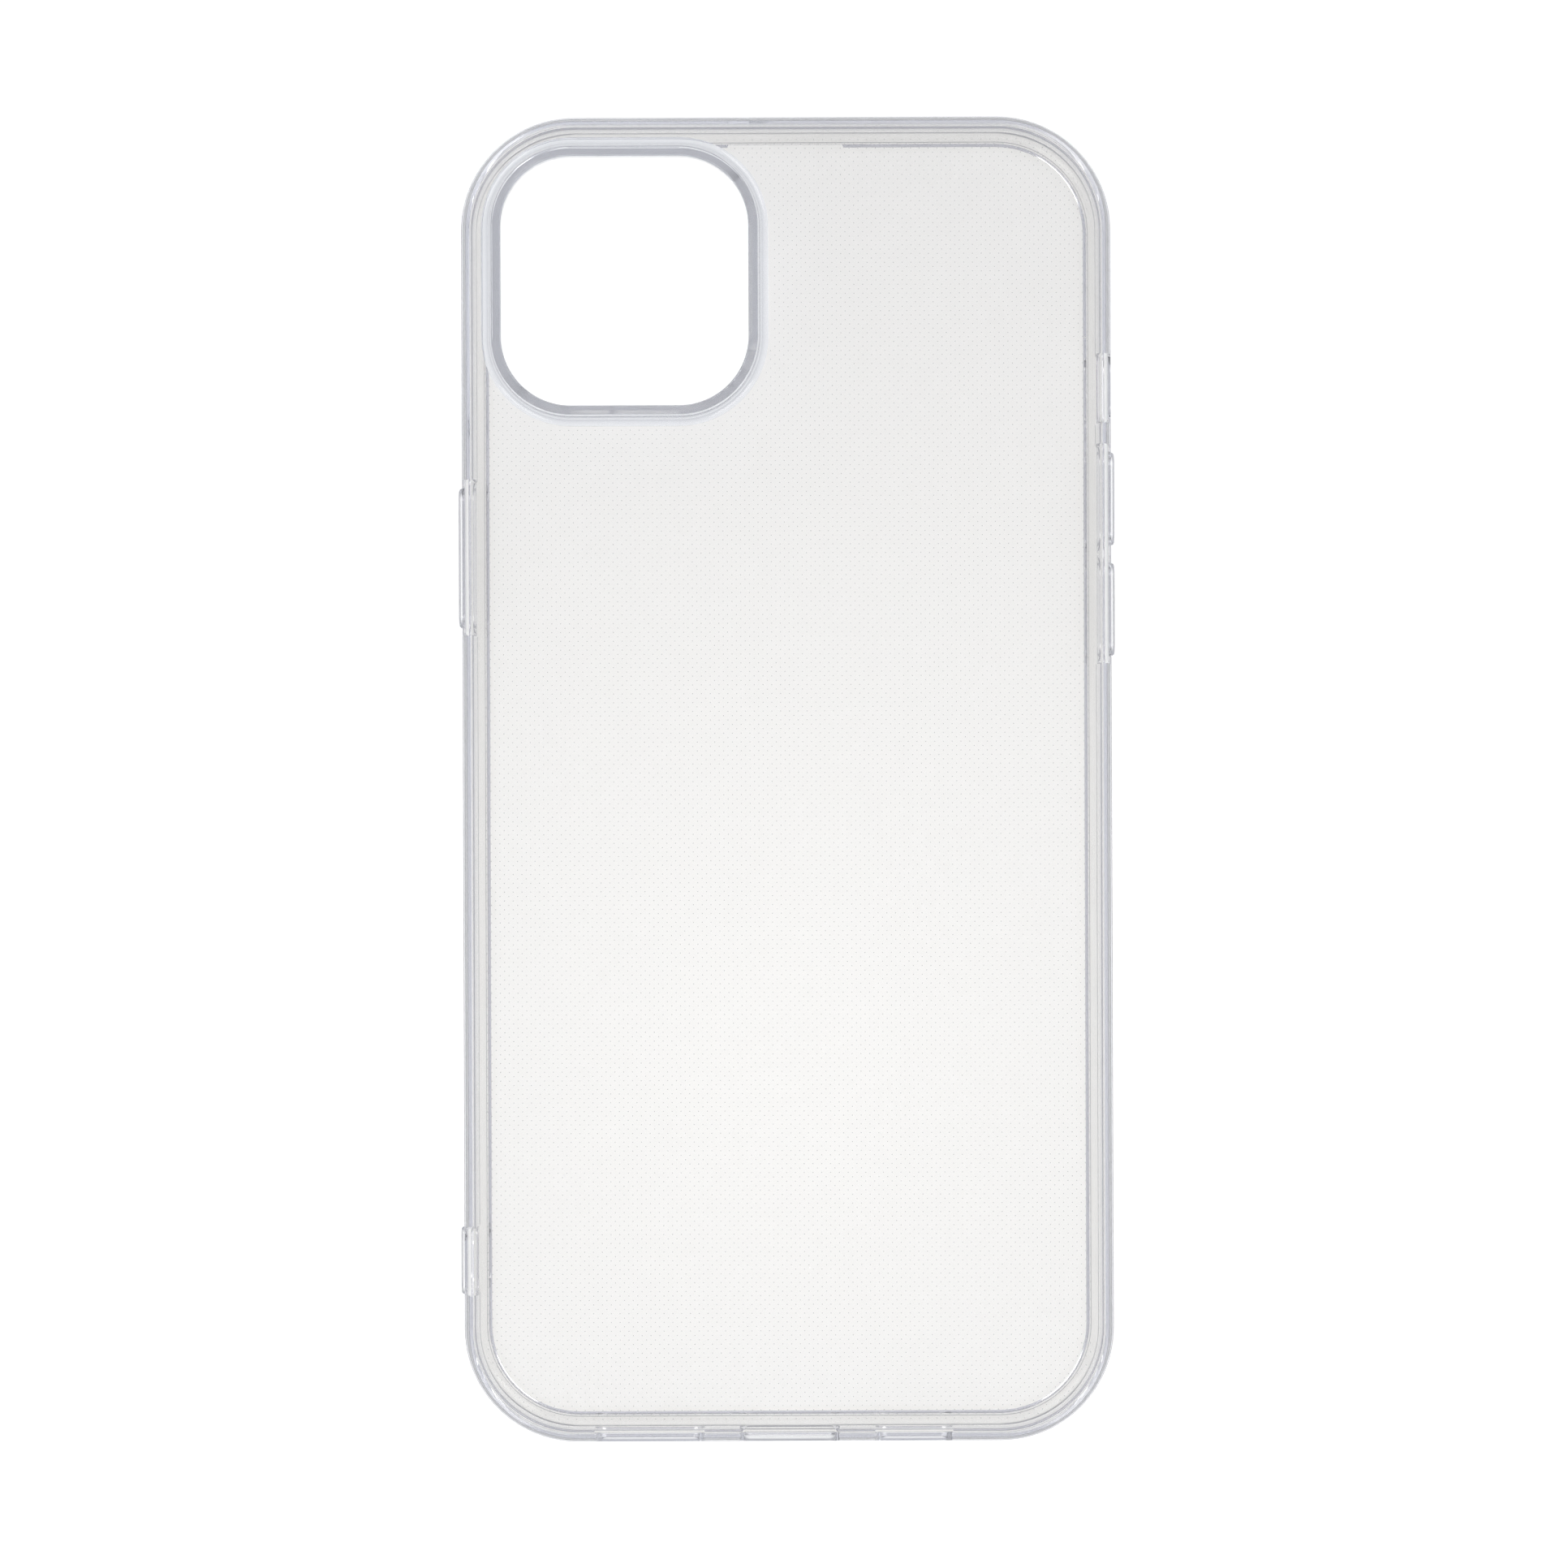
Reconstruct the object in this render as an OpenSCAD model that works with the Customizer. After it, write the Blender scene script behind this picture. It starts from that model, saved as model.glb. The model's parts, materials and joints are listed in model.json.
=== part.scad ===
// Clear phone case: back plate, soft surround with a front lip, raised camera guard, three
// side buttons and a strap bar. It lies face down: the front lip rests on z = 0, the back is
// at the top, +Y points to the camera end, and +X is on the right when seen from the back.
// Every edge shape is a small cross-section swept round a rounded rectangle.

/* [Phone it fits] */
// Width of the pocket, wall to wall
pocket_w = 77.8; // [76:0.1:80]
// Length of the pocket, end to end
pocket_l = 161.1; // [158:0.1:164]
// Thickness of the phone
pocket_h = 7.8; // [7.2:0.1:8.6]

/* [Shell] */
// Thickness of the side and end walls
wall_t = 1.2; // [1.1:0.05:1.4]
// Thickness of the back plate
back_t = 1.4; // [1.2:0.1:1.8]
// Thickness of the front lip over the screen's edge
lip_t = 1; // [0.8:0.1:1.2]
// Distance of the lip's inner edge from the outside of the case
lip_reach = 3.1; // [2.8:0.1:4]
// Outer radius of the case's four corners
corner_r = 14; // [13:0.5:16]
// Rounding of the outer edge at the back
back_edge_r = 1.8; // [1.4:0.1:1.9]
// Rounding of the outer edge at the front
front_edge_r = 0.9; // [0.6:0.1:1]
// Radius of the cove where the inner floor meets the wall
floor_cove_r = 0.8; // [0.7:0.1:1]
// Radius of the cove where the lip meets the wall
lip_cove_r = 0.4; // [0.2:0.1:0.5]

/* [Camera opening] */
// Width of the camera opening
camera_w = 30.5; // [28:0.1:32]
// Length of the camera opening
camera_l = 30.7; // [28:0.1:32]
// Corner radius of the camera opening
camera_r = 8.6; // [7:0.1:10]
// Distance from the camera opening to the case's nearest side and end
camera_inset = 5; // [4.8:0.1:7]
// Width of the guard ring, from the opening to its outer foot
guard_w = 2.45; // [2.2:0.05:2.6]
// Width of the guard ring's crest
guard_crest_w = 1.35; // [1:0.05:1.5]
// Height of the guard ring above the back plate
guard_h = 2.2; // [1.5:0.1:3]

/* [Buttons] */
// Length of the power button
power_len = 17.3; // [14:0.1:20]
// Place of the power button's middle along the case
power_y = 27.5; // [20:0.1:35]
// Length of each volume button
volume_len = 11.5; // [9:0.1:12]
// Place of the volume-up button's middle along the case
volume_up_y = 34.6; // [34:0.1:36]
// Place of the volume-down button's middle along the case
volume_down_y = 20.9; // [16:0.1:21]
// Height of every button across the wall
button_h = 3.6; // [3:0.1:4]
// How far a button stands out from the wall
button_proud = 0.5; // [0.4:0.05:0.8]
// Gap round a button in the wall
button_gap = 0.1; // [0.08:0.01:0.2]

/* [Slots] */
// Length of the mute-switch slot
mute_len = 8.6; // [7:0.1:10]
// Place of the mute-switch slot's middle along the case
mute_y = 48.2; // [47:0.1:50]
// Height of the mute-switch slot
mute_h = 5; // [4.4:0.1:5.6]
// Length of the charging-port opening
port_len = 12.4; // [11:0.1:13]
// Height of the charging-port opening
port_h = 6; // [5:0.1:6.4]
// Length of the speaker slot
speaker_len = 13.6; // [10:0.1:15]
// Place of the speaker slot's middle across the case
speaker_x = -17.3; // [-18:0.1:-17]
// Length of the microphone slot
mic_len = 9.6; // [6:0.1:10]
// Place of the microphone slot's middle across the case
mic_x = 15.4; // [15:0.1:18]
// Height of the speaker and microphone slots
sound_h = 3.2; // [2.4:0.1:4]

/* [Strap loop] */
// Length of the strap bar
strap_len = 8.4; // [8:0.1:10]
// Place of the strap bar's middle along the case
strap_y = -59.5; // [-60:0.1:-50]
// Height of the strap bar across the wall
strap_h = 2.4; // [2:0.1:3]
// Length of the window that the strap bar crosses
strap_window_len = 6.8; // [5:0.1:7]
// Height of the window that the strap bar crosses
strap_window_h = 6; // [5:0.1:6.4]

/* [Hidden] */

// Levels and places, from the driving sizes
case_w = pocket_w + 2 * wall_t;
case_l = pocket_l + 2 * wall_t;
floor_z = lip_t + pocket_h;
back_z = floor_z + back_t;
mid_z = lip_t + pocket_h / 2;
camera_x = -case_w / 2 + camera_inset + camera_w / 2;
camera_y = case_l / 2 - camera_inset - camera_l / 2;

// Depths below are measured inwards from the outside of the case
skin_t = 0.55;           // wall left outside a button's pocket
relief_depth = 1.7;      // grooves behind the buttons, mute slot and strap window
relief_gap = 0.2;        // what such a groove leaves of the plate's cove and takes off the lip
port_depth = 2.8;        // the plug's relief in the plate, behind the charging port
port_relief_h = 0.3;     // how far that relief goes into the plate
sound_depth = 2.1;       // reliefs behind the speaker and microphone slots
channel_depth = 2.2;     // shallow channel on the lip, round the camera end
channel_w = 0.55;
channel_h = 0.15;
channel_end_y = -2.3;
earpiece_len = 14.4;     // the lip is narrower in front of the earpiece
earpiece_depth = 0.35;

// Small sizes
lip_edge_r = lip_t / 2;  // the lip's inner edge is fully round
flange_t = 0.3;          // flange that keeps a button in the wall
flange_w = 0.7;          // how far that flange reaches past the cap
flange_gap = 0.05;       // play between the flange and the wall
pocket_margin = 1;       // pocket beyond the cap, all round
button_edge_r = 0.35;    // rounding of a cap's outer edge
port_r = 1.6;            // corner radius of the port and the strap window
crest_edge_r = 0.3;      // rounding of the guard's crest
guard_chamfer = 1.1;     // chamfer under the guard, clear of the camera bump's foot
guard_foot_r = guard_w - guard_crest_w;
strap_proud = 0.5;
strap_t = 1.05;
strap_edge_r = 0.35;
through = 5;             // longer than anything a cut goes through
eps = 0.01;
$fn = 96;

// ---- flat shapes ----

module rounded_rect(w, l, r) {
    square([w - 2 * r, l], center = true);
    square([w, l - 2 * r], center = true);
    for (x = [-1, 1], y = [-1, 1])
        translate([x * (w / 2 - r), y * (l / 2 - r)])
            circle(r = r);
}

module stadium(len, h) {
    rounded_rect(len, h, h / 2 - eps);
}

// Everything inside the case's outer surface: x is minus the depth, y is z
module outer_section() {
    translate([-through, front_edge_r])
        square([through, back_z - back_edge_r - front_edge_r]);
    translate([-through, 0])
        square([through - front_edge_r, mid_z]);
    translate([-through, mid_z])
        square([through - back_edge_r, back_z - mid_z]);
    translate([-front_edge_r, front_edge_r])
        circle(r = front_edge_r);
    translate([-back_edge_r, back_z - back_edge_r])
        circle(r = back_edge_r);
}

// The corner left between two straight edges and a circle of radius r that touches both
module cove(r) {
    difference() {
        translate([-eps, -eps])
            square(r + eps);
        translate([r, r])
            circle(r = r);
    }
}

// The wall and the lip, with a cove between them and a round inner edge
module frame_section() {
    intersection() {
        outer_section();
        union() {
            translate([-wall_t, 0])
                square([wall_t, back_z]);
            translate([-lip_reach + lip_edge_r, 0])
                square([lip_reach - lip_edge_r, lip_t]);
            translate([-lip_reach + lip_edge_r, lip_edge_r])
                circle(r = lip_edge_r);
            translate([-wall_t, lip_t])
                mirror([1, 0])
                    cove(lip_cove_r);
        }
    }
}

// The plate's rim: rounded on top with the case's edge, with a cove underneath
module plate_rim_section() {
    intersection() {
        outer_section();
        difference() {
            translate([-wall_t - floor_cove_r, floor_z - floor_cove_r])
                square([floor_cove_r, back_t + floor_cove_r]);
            translate([-wall_t - floor_cove_r, floor_z - floor_cove_r])
                circle(r = floor_cove_r);
        }
    }
}

// The camera guard: x is the distance out from the opening, y is z
module guard_section() {
    crest_z = back_z + guard_h;
    difference() {
        union() {
            translate([0, floor_z])
                square([guard_w, back_t]);
            translate([0, floor_z])
                square([guard_crest_w, crest_z - crest_edge_r - floor_z]);
            translate([crest_edge_r, floor_z])
                square([guard_crest_w - 2 * crest_edge_r, crest_z - floor_z]);
            for (x = [crest_edge_r, guard_crest_w - crest_edge_r])
                translate([x, crest_z - crest_edge_r])
                    circle(r = crest_edge_r);
            translate([guard_crest_w, back_z])
                cove(guard_foot_r);
        }
        polygon([[-eps, floor_z - eps], [guard_chamfer, floor_z - eps],
                 [-eps, floor_z + guard_chamfer]]);
    }
}

// ---- sweeps and cuts ----

// Sweeps a cross-section round a rounded rectangle. The section's x = 0 is the rectangle's
// edge, with negative x inside it and positive x outside.
module swept(w, l, r) {
    for (side = [0, 180]) {
        rotate(side)
            translate([w / 2, 0, 0])
                rotate([90, 0, 0])
                    linear_extrude(height = l - 2 * r, center = true)
                        children();
        rotate(side + 90)
            translate([l / 2, 0, 0])
                rotate([90, 0, 0])
                    linear_extrude(height = w - 2 * r, center = true)
                        children();
    }
    for (turn = [0:3])
        translate([(turn % 3 == 0 ? 1 : -1) * (w / 2 - r), (turn < 2 ? 1 : -1) * (l / 2 - r), 0])
            rotate(90 * turn)
                rotate_extrude(angle = 90)
                    translate([r, 0])
                        children();
}

// A plate with a rounded outline and a rounded top edge
module pad(w, l, r, t, edge_r) {
    linear_extrude(height = t)
        rounded_rect(w - 2 * edge_r, l - 2 * edge_r, r - edge_r);
    swept(w, l, r) {
        translate([-edge_r, 0])
            square([edge_r, t - edge_r]);
        intersection() {
            translate([-edge_r, t - edge_r])
                circle(r = edge_r);
            translate([-edge_r, t - edge_r])
                square(edge_r);
        }
    }
}

// Puts a shape on the +X wall at the given depth: its x runs along Y, its y along Z, and
// its z points out of the case
module on_side(y, depth) {
    translate([case_w / 2 - depth, y, mid_z])
        rotate([90, 0, 90])
            children();
}

// The same on the bottom end wall, where the shape's x runs along X
module on_bottom(x, depth) {
    translate([x, -case_l / 2 + depth, mid_z])
        rotate([90, 0, 0])
            children();
}

module on_left() {
    mirror([1, 0, 0])
        children();
}

// A cut from the outside of the wall down to where it is placed
module cut() {
    linear_extrude(height = through)
        children();
}

// An upright groove with round ends in the inside of the +X wall, between lip and plate
module wall_relief(y, len) {
    groove_w = 2 * (relief_depth - wall_t);
    bottom = lip_t - relief_gap;
    translate([case_w / 2 - wall_t, y, bottom])
        linear_extrude(height = floor_z - relief_gap - bottom)
            rounded_rect(groove_w, len, groove_w / 2 - eps);
}

// A button's opening in the skin and the pocket behind it
module button_hole(y, len) {
    on_side(y, relief_depth)
        cut()
            stadium(len + 2 * button_gap, button_h + 2 * button_gap);
    on_side(y, relief_depth)
        linear_extrude(height = relief_depth - skin_t)
            stadium(len + 2 * pocket_margin, button_h + 2 * pocket_margin);
}

// What the openings in the walls take out of the surround and of the plate's cove
module wall_cuts() {
    volume_mid_y = (volume_up_y + volume_down_y) / 2;
    volume_span = volume_up_y - volume_down_y + volume_len;
    on_side(mute_y, relief_depth)
        cut()
            stadium(mute_len, mute_h);
    wall_relief(mute_y, mute_len);
    wall_relief(volume_mid_y, volume_span + 2 * pocket_margin);
    on_left() {
        wall_relief(power_y, power_len + 2 * pocket_margin);
        wall_relief(strap_y, strap_len);
        on_side(strap_y, relief_depth)
            cut()
                rounded_rect(strap_window_len, strap_window_h, port_r);
    }
    on_bottom(0, relief_depth)
        cut()
            rounded_rect(port_len, port_h, port_r);
    plug_relief();
    for (slot = [[speaker_x, speaker_len], [mic_x, mic_len]]) {
        on_bottom(slot[0], sound_depth)
            cut()
                stadium(slot[1], sound_h);
        sound_relief(slot[0], slot[1]);
    }
}

// A shallow step under the plate, narrower at its inner end, that clears a plug's collar
module plug_relief() {
    half = port_len / 2;
    taper = port_depth - wall_t;
    y0 = -case_l / 2 + wall_t;
    translate([0, 0, mid_z])
        linear_extrude(height = floor_z + port_relief_h - mid_z)
            polygon([[-half, y0], [half, y0], [half - taper, y0 + taper],
                     [-half + taper, y0 + taper]]);
}

// A step in the plate's cove behind a sound slot
module sound_relief(x, len) {
    translate([x - len / 2, -case_l / 2 + wall_t, mid_z])
        cube([len, sound_depth - wall_t, floor_z - relief_gap - mid_z]);
}

// A shallow channel on the lip's inner face, round the camera end, with round ends
module lip_channel() {
    intersection() {
        swept(case_w, case_l, corner_r)
            translate([-channel_depth, lip_t - channel_h])
                square([channel_w, 2 * channel_h]);
        translate([-case_w / 2, channel_end_y, 0])
            cube([case_w, case_l, 2 * lip_t]);
    }
    for (side = [-1, 1])
        translate([side * (case_w / 2 - channel_depth + channel_w / 2), channel_end_y,
                   lip_t - channel_h])
            cylinder(h = 2 * channel_h, d = channel_w);
}

// The lip's narrower stretch in front of the earpiece
module earpiece_relief() {
    translate([-earpiece_len / 2, case_l / 2 - lip_reach - through + earpiece_depth, -eps])
        cube([earpiece_len, through, lip_t + 2 * eps]);
}

// ---- sub-parts ----

module back_panel() {
    rim = wall_t + floor_cove_r;
    color([0.93, 0.94, 0.95, 0.6])
        difference() {
            union() {
                translate([0, 0, floor_z])
                    linear_extrude(height = back_t)
                        rounded_rect(case_w - 2 * rim, case_l - 2 * rim, corner_r - rim);
                swept(case_w, case_l, corner_r)
                    plate_rim_section();
            }
            translate([camera_x, camera_y, floor_z - through])
                linear_extrude(height = 3 * through)
                    rounded_rect(camera_w + 2 * guard_w, camera_l + 2 * guard_w,
                                 camera_r + guard_w);
            wall_cuts();
        }
}

module bumper_frame() {
    color([0.86, 0.88, 0.92, 0.7])
        difference() {
            swept(case_w, case_l, corner_r)
                frame_section();
            wall_cuts();
            lip_channel();
            earpiece_relief();
            button_hole(volume_up_y, volume_len);
            button_hole(volume_down_y, volume_len);
            on_left() {
                button_hole(power_y, power_len);
                strap_shape();
            }
        }
}

module camera_guard() {
    color([0.8, 0.83, 0.9, 0.8])
        translate([camera_x, camera_y, 0])
            swept(camera_w, camera_l, camera_r)
                guard_section();
}

// A key on the +X side: a rounded cap through the skin and a flange behind it
module button(y, len) {
    cap_depth = skin_t + flange_gap;
    color([0.7, 0.8, 0.95, 0.9]) {
        on_side(y, cap_depth)
            pad(len, button_h, button_h / 2 - eps, cap_depth + button_proud, button_edge_r);
        on_side(y, cap_depth + flange_t)
            linear_extrude(height = flange_t)
                stadium(len + 2 * flange_w, button_h + 2 * flange_w);
    }
}

module power_button() {
    on_left()
        button(power_y, power_len);
}

module volume_up_button() {
    button(volume_up_y, volume_len);
}

module volume_down_button() {
    button(volume_down_y, volume_len);
}

// The strap bar's shape on the +X side, which is also the shape of its seat in the wall
module strap_shape() {
    on_side(strap_y, strap_t - strap_proud)
        pad(strap_len, strap_h, strap_h / 2 - eps, strap_t, strap_edge_r);
}

module strap_bar() {
    color([0.75, 0.8, 0.9, 0.9])
        on_left()
            strap_shape();
}

back_panel();
bumper_frame();
camera_guard();
power_button();
volume_up_button();
volume_down_button();
strap_bar();
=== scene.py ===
# %% [markdown]
# # A clear phone case
# A slim case moulded in clear thermoplastic: a back plate with a raised guard round the camera
# opening, a soft frame whose lip wraps over the screen's edge, three keys and a strap bar. It
# lies face down. A clear object is all edges: what the eye reads is where the surfaces bend,
# so every edge here gets its real rounding and the wall its real thickness.

# %% Load the frame
import json
import math

import bmesh
import bpy
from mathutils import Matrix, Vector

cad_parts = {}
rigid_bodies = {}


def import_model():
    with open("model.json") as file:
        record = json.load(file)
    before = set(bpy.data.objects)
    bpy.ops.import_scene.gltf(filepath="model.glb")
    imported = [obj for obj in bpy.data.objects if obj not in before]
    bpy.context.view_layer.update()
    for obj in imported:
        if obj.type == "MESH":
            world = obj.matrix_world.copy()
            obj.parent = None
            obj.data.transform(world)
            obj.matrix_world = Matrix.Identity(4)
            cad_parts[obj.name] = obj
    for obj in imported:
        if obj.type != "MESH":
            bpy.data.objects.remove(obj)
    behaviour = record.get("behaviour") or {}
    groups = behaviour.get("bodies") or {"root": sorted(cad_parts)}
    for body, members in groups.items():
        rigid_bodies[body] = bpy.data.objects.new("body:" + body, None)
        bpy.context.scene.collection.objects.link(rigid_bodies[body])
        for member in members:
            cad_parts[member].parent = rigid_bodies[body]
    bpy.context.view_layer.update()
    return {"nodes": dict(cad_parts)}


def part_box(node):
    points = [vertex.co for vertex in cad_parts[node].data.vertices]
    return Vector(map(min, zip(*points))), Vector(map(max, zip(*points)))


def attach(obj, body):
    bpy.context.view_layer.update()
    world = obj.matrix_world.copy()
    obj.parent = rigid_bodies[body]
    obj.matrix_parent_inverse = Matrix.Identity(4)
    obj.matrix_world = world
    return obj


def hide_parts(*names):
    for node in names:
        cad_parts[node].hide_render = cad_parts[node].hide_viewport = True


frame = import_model()
bpy.ops.object.select_all(action="DESELECT")
print("CAD nodes:", sorted(frame["nodes"]))

# %% [markdown]
# ## Sizes
# Where the pieces are comes from the frame. The small roundings of each section are in
# millimetres, as on a mould maker's drawing, and depths are measured inwards from the outside
# of the case.

# %% Sizes and places
MM = 0.001

frame_lo, frame_hi = [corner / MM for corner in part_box("bumper_frame")]
plate_lo, plate_hi = [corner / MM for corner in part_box("back_panel")]
guard_lo, guard_hi = [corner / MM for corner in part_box("camera_guard")]

case_w = frame_hi.x - frame_lo.x
case_l = frame_hi.y - frame_lo.y
wall_t = (case_w - (plate_hi.x - plate_lo.x)) / 2
back_z = plate_hi.z
floor_z = guard_lo.z
crest_z = guard_hi.z
corner_r = 14.0
back_edge_r = 1.8
front_edge_r = 0.9
cove_r = floor_z - plate_lo.z
lip_t = 1.0
lip_reach = 3.1
lip_cove_r = 0.4
mid_z = (lip_t + floor_z) / 2
guard_w = 2.45
crest_w = 1.35
bond_gap = 0.02
relief_depth = 1.7
print(f"case {case_w:.1f} x {case_l:.1f} mm, wall {wall_t:.2f} mm, back at {back_z:.1f} mm")

# %% [markdown]
# ## Drawing and sweeping a section
# Every edge of the case is one small cross-section carried round a rounded rectangle. A mesh
# modeller does this with two tools: extrude for straight runs and spin for arcs. The same two
# tools draw the section itself, starting from a single corner of a plane, so one pen and one
# sweep make every piece. Blender's spin turns against the right-hand rule, so here a positive
# angle in a section is anticlockwise as seen with the outside of the case on the right.

# %% The pen
CORNER_STEPS = 24
ARC_STEP = 7.5
DOUBLE = 0.0005


def pick(mode, test):
    """Selects only the vertices, edges or faces whose middle passes the test, in millimetres."""
    bpy.ops.mesh.select_mode(type=mode)
    bpy.ops.mesh.select_all(action="DESELECT")
    mesh = bpy.context.edit_object.data
    shape = bmesh.from_edit_mesh(mesh)
    for vert in shape.verts if mode == "VERT" else []:
        vert.select_set(test(vert.co / MM))
    for edge in shape.edges if mode == "EDGE" else []:
        edge.select_set(test((edge.verts[0].co + edge.verts[1].co) / 2 / MM))
    for face in shape.faces if mode == "FACE" else []:
        face.select_set(test(face.calc_center_median() / MM))
    bmesh.update_edit_mesh(mesh)


def start_pen(name, x, y, z):
    """Adds a tiny plane, keeps one of its corners and puts it at the start of a section."""
    bpy.ops.mesh.primitive_plane_add(size=MM, location=(0, 0, 0))
    piece = bpy.context.object
    piece.name = piece.data.name = name
    bpy.ops.object.mode_set(mode="EDIT")
    pick("VERT", lambda co: co.x > 0 or co.y > 0)
    bpy.ops.mesh.delete(type="VERT")
    bpy.ops.mesh.select_all(action="SELECT")
    move = (x * MM + MM / 2, y * MM + MM / 2, z * MM)
    bpy.ops.transform.translate(value=move)
    return piece


def draw(name, base_x, base_y, strokes):
    """Draws a section in the XZ plane at base_y, with s counted outwards from base_x. The
    first stroke is the start point, (s, z) is a straight line to that point, and
    (cs, cz, degrees) an arc about the centre (cs, cz)."""
    s, z = strokes[0]
    piece = start_pen(name, base_x + s, base_y, z)
    for stroke in strokes[1:]:
        if len(stroke) == 2:
            step = ((stroke[0] - s) * MM, 0, (stroke[1] - z) * MM)
            bpy.ops.mesh.extrude_region_move(TRANSFORM_OT_translate={"value": step})
            s, z = stroke
        else:
            cs, cz, degrees = stroke
            turn = math.radians(degrees)
            steps = max(4, round(abs(degrees) / ARC_STEP))
            centre = ((base_x + cs) * MM, base_y * MM, cz * MM)
            bpy.ops.mesh.spin(steps=steps, angle=turn, center=centre, axis=(0, 1, 0))
            out, up = s - cs, z - cz
            s = cs + out * math.cos(turn) - up * math.sin(turn)
            z = cz + out * math.sin(turn) + up * math.cos(turn)
    bpy.ops.mesh.select_all(action="SELECT")
    bpy.ops.mesh.remove_doubles(threshold=DOUBLE * MM)
    return piece


# %% The sweep
def sweep(w, l, r, steps):
    """Carries the drawn section round a rounded rectangle: a quarter turn, a straight run,
    and so on four times, until it meets its start again."""
    half_w, half_l = w / 2 - r, l / 2 - r
    corners = [(half_w, half_l), (-half_w, half_l), (-half_w, -half_l), (half_w, -half_l)]
    runs = [(-2 * half_w, 0), (0, -2 * half_l), (2 * half_w, 0), (0, 2 * half_l)]
    bpy.ops.mesh.select_mode(type="EDGE")
    bpy.ops.mesh.select_all(action="SELECT")
    for (x, y), (dx, dy) in zip(corners, runs):
        centre = (x * MM, y * MM, 0)
        bpy.ops.mesh.spin(steps=steps, angle=-math.pi / 2, center=centre, axis=(0, 0, 1))
        move = (dx * MM, dy * MM, 0)
        bpy.ops.mesh.extrude_region_move(TRANSFORM_OT_translate={"value": move})
    bpy.ops.mesh.select_all(action="SELECT")
    bpy.ops.mesh.remove_doubles(threshold=DOUBLE * MM)


def leave_edit(piece):
    """Points all faces outwards and goes back to object mode."""
    bpy.ops.mesh.select_all(action="SELECT")
    bpy.ops.mesh.normals_make_consistent(inside=False)
    bpy.ops.object.mode_set(mode="OBJECT")
    return piece


def ring(name, w, l, r, section, steps=CORNER_STEPS):
    """A closed section swept round a rounded rectangle."""
    piece = draw(name, w / 2, l / 2 - r, section)
    sweep(w, l, r, steps)
    return leave_edit(piece)


def solid(name, w, l, r, section, steps=CORNER_STEPS):
    """An open section swept round a rounded rectangle, with its flat bottom and top filled.
    The section's two ends lie on the same line, furthest in."""
    piece = draw(name, w / 2, l / 2 - r, section)
    sweep(w, l, r, steps)
    bpy.ops.mesh.select_mode(type="EDGE")
    bpy.ops.mesh.select_all(action="DESELECT")
    bpy.ops.mesh.select_non_manifold(extend=False)
    bpy.ops.mesh.edge_face_add()
    return leave_edit(piece)


def report(piece):
    """Prints a piece's size, and how many of its edges are open, which should be none."""
    shape = bmesh.new()
    shape.from_mesh(piece.data)
    loose = sum(not edge.is_manifold for edge in shape.edges)
    shape.free()
    size = " x ".join(f"{side / MM:.2f}" for side in piece.dimensions)
    print(f"{piece.name}: {size} mm, {len(piece.data.polygons)} faces, {loose} open edges")


# %% [markdown]
# ## The soft frame
# The frame is the case's outer band: a 1.2 mm wall with a rounded shoulder at the back, a
# rounded foot at the front, and a lip that reaches over the screen. The lip's last 0.65 mm is a
# little thinner, rounded towards the screen and bevelled in front. It could be a cube with
# bevels, but its outer and inner radii differ and the lip needs a cove, so its section is drawn
# once and swept. Where frame and plate meet, both edges are broken by a tenth of a millimetre,
# which leaves a fine V all round.

# %% Sweep the frame
joint_v = 0.1
shoulder = math.degrees(math.acos((back_edge_r - wall_t + joint_v) / back_edge_r))
shoulder_top = back_z - back_edge_r + math.sqrt(back_edge_r ** 2 - (back_edge_r - wall_t) ** 2)
lip_thin = 0.65
lip_step_r = 0.075
lip_end_r = 0.25
lip_end_z = lip_t - 2 * lip_step_r
lip_bevel = 0.42

soft_frame = ring("soft_frame", case_w, case_l, corner_r, [
    (0, front_edge_r),
    (0, back_z - back_edge_r),
    (-back_edge_r, back_z - back_edge_r, shoulder),
    (-wall_t, shoulder_top - joint_v),
    (-wall_t, lip_t + lip_cove_r),
    (-wall_t - lip_cove_r, lip_t + lip_cove_r, -90),
    (-lip_reach + lip_thin, lip_t),
    (-lip_reach + lip_thin, lip_t - lip_step_r, 90),
    (-lip_reach + lip_thin - 2 * lip_step_r, lip_t - lip_step_r, -90),
    (-lip_reach + lip_end_r, lip_end_z),
    (-lip_reach + lip_end_r, lip_end_z - lip_end_r, 90),
    (-lip_reach, lip_bevel),
    (-lip_reach + lip_bevel, 0),
    (-front_edge_r, 0),
    (-front_edge_r, front_edge_r, 90),
])
report(soft_frame)

# %% [markdown]
# ## The back plate
# The plate is one clear sheet whose rim finishes the frame's shoulder on top and turns down
# into a small cove underneath. It is drawn like the frame, with an open section whose two ends
# are then filled as two flat faces. A hair of air between plate and frame keeps their faces
# apart, because two clear faces in the same place can't be traced.

# %% Sweep and fill the plate
plate_edge = wall_t + bond_gap
plate_start = back_edge_r - plate_edge - joint_v
plate_rise = math.sqrt(back_edge_r ** 2 - plate_start ** 2)
plate_turn = math.degrees(math.asin(plate_start / back_edge_r))
plate_inner = wall_t + cove_r + 0.4

back_plate = solid("back_plate", case_w, case_l, corner_r, [
    (-plate_inner, floor_z),
    (-plate_edge - cove_r, floor_z),
    (-plate_edge - cove_r, floor_z - cove_r, -90),
    (-plate_edge, shoulder_top - joint_v),
    (-plate_edge - joint_v, back_z - back_edge_r + plate_rise),
    (-back_edge_r, back_z - back_edge_r, plate_turn),
    (-plate_inner, back_z),
])
report(back_plate)

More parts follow.
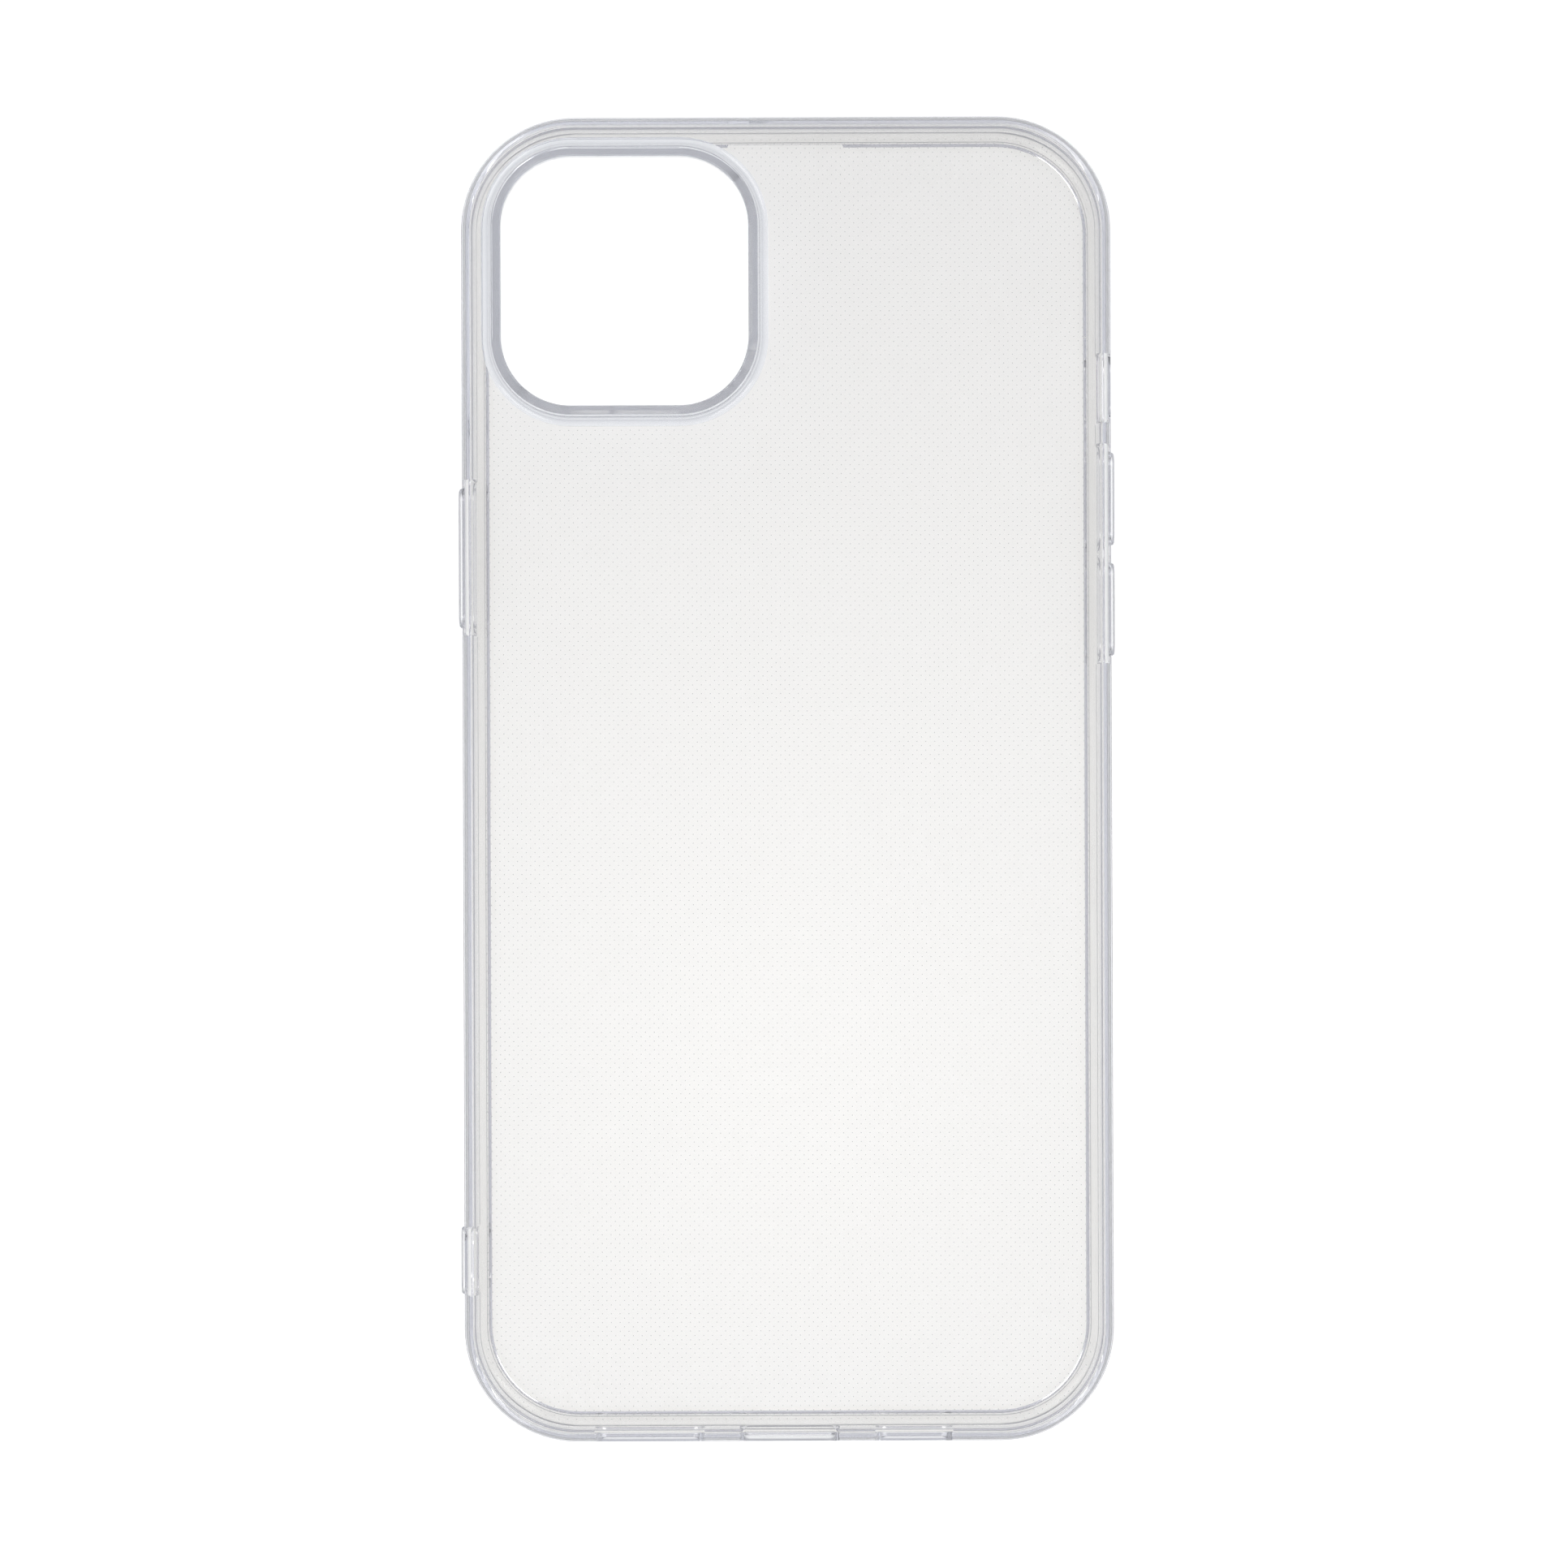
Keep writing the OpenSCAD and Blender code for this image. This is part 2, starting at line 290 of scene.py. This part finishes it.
# %% [markdown]
# ## The camera guard
# A raised ring frames the camera opening. Its crest stands 2.2 mm above the back with two small
# roundings, its foot flows into the plate in a wide cove, and a chamfer underneath makes room
# for the foot of the phone's camera bump. That chamfer works as a mirror inside the plastic,
# which is why such a ring looks like a blue-grey band. Here the guard's plastic also has a
# darker, bluish tint, which is partly a painted reflection of that band. It is the same kind
# of sweep.

# %% Sweep the guard
crest_r = 0.3
chamfer = 1.1
foot_r = guard_w - crest_w
camera_w = guard_hi.x - guard_lo.x - 2 * guard_w
camera_l = guard_hi.y - guard_lo.y - 2 * guard_w
camera_r = 8.6
camera_x = (guard_lo.x + guard_hi.x) / 2
camera_y = (guard_lo.y + guard_hi.y) / 2

camera_guard = ring("camera_guard_ring", camera_w, camera_l, camera_r, [
    (0, floor_z + chamfer),
    (0, crest_z - crest_r),
    (crest_r, crest_z - crest_r, -90),
    (crest_w - crest_r, crest_z),
    (crest_w - crest_r, crest_z - crest_r, -90),
    (crest_w, back_z + foot_r),
    (guard_w, back_z + foot_r, 90),
    (guard_w, floor_z),
    (chamfer, floor_z),
    (0, floor_z + chamfer),
])
camera_guard.location = (camera_x * MM, camera_y * MM, 0)
bpy.ops.object.transform_apply()
report(camera_guard)

# %% [markdown]
# ## Cutting the openings
# A mould makes the slots and pockets with steel cores. A core is a plain prism with round
# corners, so one function makes them all, one puts them on a side of the case, and a boolean
# takes each one out of the soft plastic. The core is thrown away afterwards.

# %% Cores
STADIUM_FLAT = 0.01


def core(name, w, l, r, low, high):
    """A prism with round corners, from one height to another."""
    step = min(0.3, r / 2)
    section = [(-step, low), (0, low), (0, high), (-step, high)]
    return solid(name, w, l, r, section, steps=12)


def stadium_core(name, length, height, low, high):
    """A core with round ends, with a hair of straight edge left between the two arcs."""
    return core(name, length, height, height / 2 - STADIUM_FLAT, low, high)


def put_on(side, along, depth, piece):
    """Stands a lying piece on a side wall of the case: its length then runs along the wall,
    its top faces outwards, and its own zero is this deep in the wall."""
    places = {
        "right": ((case_w / 2 - depth, along, mid_z), 90),
        "left": ((-case_w / 2 + depth, along, mid_z), -90),
        "bottom": ((along, -case_l / 2 + depth, mid_z), 0),
    }
    place, turn = places[side]
    piece.location = [value * MM for value in place]
    piece.rotation_euler = (math.radians(90), 0, math.radians(turn))
    bpy.ops.object.transform_apply()
    return piece


def cut(piece, *cores):
    """Takes each core out of the piece and deletes it."""
    for tool in cores:
        modifier = piece.modifiers.new("cut", "BOOLEAN")
        modifier.operation = "DIFFERENCE"
        modifier.solver = "EXACT"
        modifier.object = tool
        bpy.context.view_layer.objects.active = piece
        bpy.ops.object.modifier_apply(modifier=modifier.name)
        bpy.data.objects.remove(tool)


# %% [markdown]
# The wall has a mute-switch slot and a strap window in its sides, and three openings in its
# bottom end: sound slots left and right of the charging port. Each goes right through.

# %% Slots in the wall
mute_y, mute_len, mute_h = 48.2, 8.6, 5
strap_y, strap_len, strap_h = -59.5, 8.4, 2.4
window_len, window_h = 6.8, 6
port_len, port_h, port_r = 12.4, 6, 1.6
sound_depth, sound_h = 2.1, 3.2
sound_slots = [(-17.3, 13.6), (15.4, 9.6)]
OUT = 5

cut(soft_frame, put_on("right", mute_y, relief_depth,
                       stadium_core("mute_core", mute_len, mute_h, 0, OUT)))
cut(soft_frame, put_on("left", strap_y, relief_depth,
                       core("strap_core", window_len, window_h, port_r, 0, OUT)))
cut(soft_frame, put_on("bottom", 0, relief_depth,
                       core("port_core", port_len, port_h, port_r, 0, OUT)))
for sound_x, sound_len in sound_slots:
    cut(soft_frame, put_on("bottom", sound_x, sound_depth,
                           stadium_core("sound_core", sound_len, sound_h, 0, OUT)))
report(soft_frame)

# %% [markdown]
# Behind each key the wall is a thin skin: a pocket is sunk from inside, wider than the key's
# own opening, so that the key's flange can't fall out. Upright grooves beside the keys, the
# mute slot and the strap window let the wall give when the phone is snapped in.

# %% Key pockets and wall grooves
key_h, key_gap, skin_t, pocket_margin = 3.6, 0.1, 0.55, 1.0
pocket_extra, groove_end = 0.3, 0.2
keys = {
    "power": ("left", 27.5, 17.3),
    "volume_up": ("right", 34.6, 11.5),
    "volume_down": ("right", 20.9, 11.5),
}
volume_groove_y, volume_groove_len = 27.75, 27.2
power_groove_y, power_groove_len = 27.5, 19.3
grooves = [
    (1, mute_y, mute_len),
    (1, volume_groove_y, volume_groove_len),
    (-1, power_groove_y, power_groove_len),
    (-1, strap_y, strap_len),
]


def groove_core(side, y, length):
    """A core for an upright groove between the lip and the plate."""
    width = 2 * (relief_depth - wall_t)
    tool = core("groove_core", width, length, width / 2 - STADIUM_FLAT,
                lip_t - groove_end, floor_z - groove_end)
    tool.location = (side * (case_w / 2 - wall_t) * MM, y * MM, 0)
    bpy.ops.object.transform_apply()
    return tool


for side, key_y, key_len in keys.values():
    cut(soft_frame,
        put_on(side, key_y, relief_depth,
               stadium_core("hole_core", key_len + 2 * key_gap, key_h + 2 * key_gap, 0, OUT)))
    cut(soft_frame,
        put_on(side, key_y, relief_depth,
               stadium_core("pocket_core", key_len + 2 * pocket_margin,
                            key_h + 2 * pocket_margin, -pocket_extra,
                            relief_depth - skin_t)))
for groove in grooves:
    cut(soft_frame, groove_core(*groove))
    cut(back_plate, groove_core(*groove))
report(soft_frame)

# %% [markdown]
# The plate loses the guard's outline and, above the port and the sound slots, shallow steps in
# its cove that clear a plug's collar. The port's step narrows inwards, so its core is a cube
# whose inner end is squeezed.

# %% Cuts in the plate
step_from, step_rise = 1, 0.2
guard_hole = core("guard_core", camera_w + 2 * guard_w + 2 * bond_gap,
                  camera_l + 2 * guard_w + 2 * bond_gap, camera_r + guard_w + bond_gap,
                  floor_z - 1, back_z + 1)
guard_hole.location = (camera_x * MM, camera_y * MM, 0)
bpy.ops.object.transform_apply()
cut(back_plate, guard_hole)

for sound_x, sound_len in sound_slots:
    step_core = core("step_core", sound_len, sound_depth - step_from, 0.1,
                     mid_z, floor_z - step_rise)
    step_core.location = (sound_x * MM, (-case_l / 2 + (step_from + sound_depth) / 2) * MM, 0)
    bpy.ops.object.transform_apply()
    cut(back_plate, step_core)

plug_depth, plug_step = 2.8, 0.3
plug_len = plug_depth - step_from
bpy.ops.mesh.primitive_cube_add(
    size=MM, location=(0, (-case_l / 2 + step_from + plug_len / 2) * MM,
                       (mid_z + floor_z + plug_step) / 2 * MM))
plug_core = bpy.context.object
plug_core.scale = (port_len, plug_len, floor_z + plug_step - mid_z)
bpy.ops.object.transform_apply()
bpy.ops.object.mode_set(mode="EDIT")
pick("VERT", lambda co: co.y > -case_l / 2 + plug_depth - 0.1)
bpy.ops.transform.resize(value=(1 - 2 * plug_len / port_len, 1, 1))
bpy.ops.object.mode_set(mode="OBJECT")
cut(back_plate, plug_core)
report(back_plate)

# %% [markdown]
# The lip carries two shallow details: a channel round the camera end on its inner face, which
# lets air out when the phone is pressed in, and a narrower stretch in front of the earpiece.

# %% Lip channel and earpiece relief
channel_in, channel_out, channel_h, channel_end = 2.2, 1.65, 0.15, -2.57
channel_bevel = 0.26
channel_low = lip_t - channel_h

channel_core = ring("channel_core", case_w, case_l, corner_r, [
    (-channel_in, channel_low),
    (-channel_out, channel_low),
    (-channel_out, lip_t + channel_h),
    (-channel_in, lip_t + channel_h),
    (-channel_in, channel_low),
], steps=29)
bpy.ops.object.mode_set(mode="EDIT")
bpy.ops.mesh.select_all(action="SELECT")
bpy.ops.mesh.bisect(plane_co=(0, channel_end * MM, 0), plane_no=(0, 1, 0),
                    use_fill=True, clear_inner=True)
pick("EDGE", lambda co: abs(co.y - channel_end) < 0.01 and abs(co.z - lip_t) < 0.01)
bpy.ops.mesh.bevel(offset=channel_bevel * MM, segments=6)
leave_edit(channel_core)
report(channel_core)
cut(soft_frame, channel_core)

earpiece_len, earpiece_step = 14.4, 0.35
ear_w, ear_r, ear_low, ear_high = 2, 0.3, -0.5, lip_t + 0.1
ear_core = core("ear_core", earpiece_len, ear_w, ear_r, ear_low, ear_high)
ear_core.location = (0, (case_l / 2 - lip_reach + earpiece_step - ear_w / 2) * MM, 0)
bpy.ops.object.transform_apply()
cut(soft_frame, ear_core)
report(soft_frame)

# %% [markdown]
# ## Keys and strap bar
# A key is a small pill: a cap with a rounded edge that stands half a millimetre proud of the
# wall, on a thin flange that holds it from behind. The strap bar is a pill too, moulded over
# the window in the side wall, and a cord is threaded behind it. Both are drawn lying down,
# swept round a stadium and then stood up in the wall.

# %% Keys
key_pieces = {}
flange_w, flange_t, key_t, key_edge = 0.7, 0.3, 1.4, 0.35
key_depth = 0.9
pill_edge = 0.6
for key_name, (side, key_y, key_len) in keys.items():
    key = solid(key_name + "_key_cap", key_len, key_h, key_h / 2 - STADIUM_FLAT, [
        (-pill_edge, 0),
        (flange_w, 0),
        (flange_w, flange_t),
        (0, flange_t),
        (0, key_t - key_edge),
        (-key_edge, key_t - key_edge, 90),
        (-pill_edge, key_t),
    ], steps=16)
    key_pieces[key_name] = put_on(side, key_y, key_depth, key)
    report(key)

# %% Strap bar and its seat
strap_t = 1.05
strap_depth = 0.55


def strap_pill(name, grow):
    """The bar's shape, with an even allowance all round for its seat."""
    top = strap_t + grow
    bar = solid(name, strap_len + 2 * grow, strap_h + 2 * grow,
                strap_h / 2 - STADIUM_FLAT + grow, [
                    (-pill_edge, 0),
                    (0, 0),
                    (0, top - key_edge),
                    (-key_edge, top - key_edge, 90),
                    (-pill_edge, top),
                ], steps=16)
    return put_on("left", strap_y, strap_depth + grow, bar)


strap_piece = strap_pill("strap_loop_bar", 0)
cut(soft_frame, strap_pill("strap_seat", bond_gap))
report(strap_piece)
report(soft_frame)

# %% [markdown]
# ## Micro-dots
# The inside of the back is covered with tiny moulded dots, about a seventh of a millimetre wide
# and 0.04 mm high, in a staggered grid. They hold the plate off the phone's glass, so that no
# wet-looking patches show. They are a real shape, hung a hair below the plate. One dot is a flat
# six-sided cone; a second one is set between the rows, and two Array modifiers repeat the pair.

# %% Dots
dot_r, dot_h, dot_pitch = 0.07, 0.04, 1.085
dot_margin, dot_hang = 2.5, 0.003
dot_rows = int((case_l - 2 * dot_margin) / dot_pitch)
dot_columns = int((case_w - 2 * dot_margin) / dot_pitch)

bpy.ops.mesh.primitive_cone_add(
    vertices=6, radius1=dot_r * MM, depth=dot_h * MM, rotation=(math.pi, 0, 0),
    location=(-(dot_columns - 0.5) / 2 * dot_pitch * MM,
              -(dot_rows - 0.5) / 2 * dot_pitch * MM,
              (floor_z - dot_hang - dot_h / 2) * MM))
micro_dots = bpy.context.object
micro_dots.name = micro_dots.data.name = "micro_dots"
bpy.ops.object.transform_apply()
bpy.ops.object.mode_set(mode="EDIT")
bpy.ops.mesh.select_all(action="SELECT")
half_step = (dot_pitch / 2 * MM, dot_pitch / 2 * MM, 0)
bpy.ops.mesh.duplicate_move(TRANSFORM_OT_translate={"value": half_step})
bpy.ops.object.mode_set(mode="OBJECT")
for count, offset in [(dot_columns, (1, 0, 0)), (dot_rows, (0, 1, 0))]:
    array = micro_dots.modifiers.new("repeat", "ARRAY")
    array.count = count
    array.use_relative_offset = False
    array.use_constant_offset = True
    array.constant_offset_displace = [value * dot_pitch * MM for value in offset]
    bpy.ops.object.modifier_apply(modifier=array.name)


def outside_rect(x, y, w, l, r):
    """How far a point is outside a rounded rectangle, negative inside it."""
    dx, dy = abs(x) - w / 2 + r, abs(y) - l / 2 + r
    return math.hypot(max(dx, 0), max(dy, 0)) + min(max(dx, dy), 0) - r


def no_dot_here(co):
    """True where the plate's cove or the camera guard leaves no room for a dot."""
    rim = outside_rect(co.x, co.y, case_w - 2 * dot_margin + 0.4,
                       case_l - 2 * dot_margin + 0.4, corner_r - dot_margin + 0.2)
    guard = outside_rect(co.x - camera_x, co.y - camera_y, camera_w, camera_l, camera_r)
    return rim > 0 or guard < guard_w + 0.3


bpy.ops.object.mode_set(mode="EDIT")
pick("VERT", no_dot_here)
bpy.ops.mesh.select_linked()
bpy.ops.mesh.delete(type="VERT")
bpy.ops.object.mode_set(mode="OBJECT")
FACES_PER_DOT = 7
print(len(micro_dots.data.polygons) // FACES_PER_DOT, "dots")

# %% [markdown]
# ## Finishing the surfaces
# A boolean leaves long thin faces beside round ones, and plain smooth shading would bend the
# light on them as if the flat plate were a lens. So only edges under 30 degrees are smoothed,
# and a Weighted Normal modifier lets the large flat faces decide, which keeps them flat.

# %% Smooth and weigh
def finish_surface(piece):
    """Merges doubles, smooths what is round and keeps what is flat."""
    bpy.ops.object.select_all(action="DESELECT")
    piece.select_set(True)
    bpy.context.view_layer.objects.active = piece
    bpy.ops.object.mode_set(mode="EDIT")
    bpy.ops.mesh.select_all(action="SELECT")
    bpy.ops.mesh.remove_doubles(threshold=0.001 * MM)
    bpy.ops.object.mode_set(mode="OBJECT")
    bpy.ops.object.shade_smooth_by_angle(angle=math.radians(30))
    weigh = piece.modifiers.new("weigh", "WEIGHTED_NORMAL")
    weigh.keep_sharp = True
    weigh.weight = 60
    bpy.ops.object.modifier_apply(modifier=weigh.name)
    report(piece)


for piece in [soft_frame, back_plate, camera_guard, strap_piece, *key_pieces.values()]:
    finish_surface(piece)

# %% [markdown]
# ## Clear plastic
# Clear cases are moulded in thermoplastic polyurethane, often with a stiffer plate. Both are
# transparent, with an index of refraction near 1.5, and polished steel moulds leave them
# almost without roughness. What makes them look like plastic instead of air is a faint tint,
# slow waves where the melt cooled, and specks of dust. Each tint is partly the plastic's own
# colour and partly painted shade. The plate's tint is darker than the frame's, so the table
# seen through the plate is darker, like the shade under a case. A clear thing also casts
# hardly any shadow. Tracing that light exactly takes very long, so shadow rays pass straight
# through, weakened by a tint. The tints and the guard's haze are set for this light table,
# which is brighter than white; they aren't measured values.

# %% Nodes and colours
def linear(hex_colour):
    """An sRGB hex colour as the linear values that shaders use."""
    parts = [int(hex_colour[i:i + 2], 16) / 255 for i in (0, 2, 4)]
    return [c / 12.92 if c <= 0.04045 else ((c + 0.055) / 1.055) ** 2.4 for c in parts] + [1]


def add_node(tree, kind, settings, sockets):
    """Adds a node, sets its settings, and fills its sockets with values or links."""
    new = tree.nodes.new(kind)
    for name, value in settings.items():
        setattr(new, name, value)
    for name, value in sockets.items():
        if isinstance(value, bpy.types.NodeSocket):
            tree.links.new(value, new.inputs[name])
        else:
            new.inputs[name].default_value = value
    return new


TPU_IOR = 1.5


def clear_plastic(name, tint_and_painted_shade, shade, wave, speck_size, haze=0.0):
    """Clear moulded plastic. The tint is its colour by transmission, partly the plastic's own
    and partly painted shade that darkens what is seen through it; the shade is what its shadow
    keeps, wave is the depth in mm of its cooling waves, which are about 12 mm long, and the
    specks are dust, one in every 9 mm. Haze is the share of light that the plastic scatters
    instead of passing it on."""
    waves_per_mm, specks_per_mm = 0.08, 0.11
    material = bpy.data.materials.new(name)
    material.use_nodes = True
    tree = material.node_tree
    tree.nodes.clear()
    place = add_node(tree, "ShaderNodeTexCoord", {}, {}).outputs["Object"]
    waves = add_node(tree, "ShaderNodeTexNoise", {},
                     {"Vector": place, "Scale": waves_per_mm / MM, "Detail": 2.0})
    bump = add_node(tree, "ShaderNodeBump", {},
                    {"Height": waves.outputs["Fac"], "Distance": wave * MM, "Strength": 1.0})
    dust = add_node(tree, "ShaderNodeTexVoronoi", {},
                    {"Vector": place, "Scale": specks_per_mm / MM})
    speck = add_node(tree, "ShaderNodeMapRange", {"interpolation_type": "SMOOTHSTEP"},
                     {"Value": dust.outputs["Distance"], "From Min": 0.5 * speck_size,
                      "From Max": speck_size, "To Min": 0.5, "To Max": 0.0})
    plastic = add_node(tree, "ShaderNodeBsdfPrincipled", {}, {
        "Base Color": linear(tint_and_painted_shade), "IOR": TPU_IOR, "Transmission Weight": 1.0 - haze,
        "Roughness": speck.outputs["Result"], "Normal": bump.outputs["Normal"]})
    clear = add_node(tree, "ShaderNodeBsdfTransparent", {}, {"Color": linear(shade)})
    ray = add_node(tree, "ShaderNodeLightPath", {}, {})
    mix = add_node(tree, "ShaderNodeMixShader", {}, {
        0: ray.outputs["Is Shadow Ray"], 1: plastic.outputs[0], 2: clear.outputs[0]})
    add_node(tree, "ShaderNodeOutputMaterial", {}, {"Surface": mix.outputs[0]})
    return material


# %% The plastics
# The plate's darker tint is partly painted shade, which darkens the table seen through it; the
# frame, key and dot tints are nearly clear.
plate_plastic = clear_plastic("polished clear TPU plate", "E8E7E6", "F0F0F0", 0.004, 0.02)
frame_plastic = clear_plastic("polished clear TPU frame", "FAFAFA", "F0F0F0", 0.003, 0.02)
# The guard's darker, bluish tint is partly a painted reflection: it helps its band look
# blue-grey, like the room that its chamfer reflects.
guard_plastic = clear_plastic("polished clear TPU guard", "E1E2E4", "F0F0F0", 0.001, 0.01, 0.13)
key_plastic = clear_plastic("polished clear TPU key", "F8F8F9", "F0F0F0", 0.001, 0.01)
dot_plastic = clear_plastic("moulded clear TPU dots", "F6F7F6", "FFFFFF", 0.0, 0.01)


def hand_in(piece, plastic, body, slot, *nodes):
    """Gives a piece its plastic and its body, and hides the CAD nodes that it stands for. The
    slot is not used.
    """
    piece.data.materials.clear()
    piece.data.materials.append(plastic)
    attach(piece, body)
    if nodes:
        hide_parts(*nodes)
    print(piece.name, "rides on", body)


hand_in(back_plate, plate_plastic, "shell", "clear_plate", "back_panel")
hand_in(micro_dots, dot_plastic, "shell", "clear_plate")
hand_in(soft_frame, frame_plastic, "shell", "clear_frame", "bumper_frame")
hand_in(strap_piece, frame_plastic, "shell", "clear_frame", "strap_bar")
hand_in(camera_guard, guard_plastic, "shell", "clear_guard", "camera_guard")
for key_name, key in key_pieces.items():
    hand_in(key, key_plastic, key_name + "_key", "clear_key", key_name + "_button")

# %% [markdown]
# ## Floor, light and camera
# Clear things are lit from below. The case lies on a pale light table, whose glow leaves it
# only near straight up; the rest of its light is what its white cover reflects. Seen straight
# through, the plastic is then bright, and wherever its surface bends the ray away, the eye gets
# a darker, cooler part of the table or the room, so the edges draw themselves as grey lines.
# From a low angle the glow is gone, and the table looks grey. The glow also fades from a place
# below the middle, and the room is brighter on the near side, so the clear plate isn't evenly
# bright: that shading belongs to the light and not to the plastic. Four softboxes stand round
# the table at half height, and nothing hangs overhead, so the flat back doesn't glare.

# %% Light table
bpy.ops.mesh.primitive_circle_add(vertices=96, radius=2.5, fill_type="NGON",
                                  location=(0, 0, -0.05 * MM))
floor = bpy.context.object
floor.name = floor.data.name = "light_table"
bpy.ops.object.transform_apply()

glow_y = -35 * MM
glow_near, glow_far = 10 * MM, 110 * MM
steepest, shallowest = 0.008, 0.16
table = bpy.data.materials.new("opal light table")
table.use_nodes = True
tree = table.node_tree
tree.nodes.clear()
place = add_node(tree, "ShaderNodeTexCoord", {}, {}).outputs["Object"]
far = add_node(tree, "ShaderNodeVectorMath", {"operation": "DISTANCE"}, {
    0: place, 1: (0.0, glow_y, 0.0)}).outputs["Value"]
level = add_node(tree, "ShaderNodeMapRange", {}, {
    "Value": far, "From Min": glow_near, "From Max": glow_far, "To Min": 0.80, "To Max": 0.61})
tilt = add_node(tree, "ShaderNodeLayerWeight", {}, {"Blend": 0.5}).outputs["Facing"]
spread = add_node(tree, "ShaderNodeMapRange", {}, {
    "Value": tilt, "From Min": steepest, "From Max": shallowest, "To Min": 1.0, "To Max": 0.0})
strength = add_node(tree, "ShaderNodeMath", {"operation": "MULTIPLY"}, {
    0: level.outputs["Result"], 1: spread.outputs["Result"]})
glow = add_node(tree, "ShaderNodeEmission", {}, {
    "Color": (0.92, 0.914, 0.86, 1), "Strength": strength.outputs[0]})
cover = add_node(tree, "ShaderNodeBsdfDiffuse", {}, {"Color": (0.465, 0.472, 0.492, 1)})
both = add_node(tree, "ShaderNodeAddShader", {}, {0: glow.outputs[0], 1: cover.outputs[0]})
add_node(tree, "ShaderNodeOutputMaterial", {}, {"Surface": both.outputs[0]})
floor.data.materials.append(table)
print("light table", floor.dimensions.x, "m across")

# %% Light
world = bpy.data.worlds.new("studio")
bpy.context.scene.world = world
world.use_nodes = True
tree = world.node_tree
toward = add_node(tree, "ShaderNodeTexCoord", {}, {}).outputs["Generated"]
toward_y = add_node(tree, "ShaderNodeSeparateXYZ", {}, {"Vector": toward}).outputs["Y"]
room = add_node(tree, "ShaderNodeMapRange", {}, {
    "Value": toward_y, "From Min": -1.0, "From Max": 1.0, "To Min": 0.95, "To Max": 0.65})
tree.nodes["Background"].inputs["Color"].default_value = (0.93, 0.95, 1.05, 1)
tree.links.new(room.outputs["Result"], tree.nodes["Background"].inputs["Strength"])


def softbox(name, azimuth, elevation, distance, size, power):
    """A square softbox that points at the case."""
    turn, rise = math.radians(azimuth), math.radians(elevation)
    flat = distance * math.cos(rise)
    place = (flat * math.sin(turn), -flat * math.cos(turn), distance * math.sin(rise))
    bpy.ops.object.light_add(type="AREA", location=place,
                             rotation=(math.radians(90) - rise, 0, turn))
    lamp = bpy.context.object
    lamp.name = lamp.data.name = name
    lamp.data.shape = "SQUARE"
    lamp.data.size = size
    lamp.data.energy = power
    lamp.data.color = (1.0, 0.99, 0.96)


for i, (azimuth, power) in enumerate([(45, 1.8), (135, 1.6), (225, 1.6), (315, 1.8)]):
    softbox(f"softbox_{i}", azimuth, 45, 1.0, 0.5, power)
scene = bpy.context.scene
CLEAR_BOUNCES = 64
scene.cycles.caustics_reflective = True
scene.cycles.caustics_refractive = True
scene.cycles.max_bounces = CLEAR_BOUNCES
scene.cycles.glossy_bounces = CLEAR_BOUNCES
scene.cycles.transmission_bounces = CLEAR_BOUNCES
scene.cycles.transparent_max_bounces = CLEAR_BOUNCES // 2
scene.view_settings.view_transform = "Standard"

# %% Camera
camera_height = 0.9
picture_side = 0.1937
sensor_w = 36
widest_z = back_z - back_edge_r
aim_x, aim_y = -0.43 * MM, -0.6 * MM
bpy.ops.object.camera_add(location=(aim_x, aim_y, widest_z * MM + camera_height),
                          rotation=(0, 0, math.radians(-0.2)))
camera = bpy.context.object
camera.data.sensor_width = sensor_w
camera.data.lens = sensor_w * camera_height / picture_side
scene.camera = camera
print(f"lens {camera.data.lens:.0f} mm")
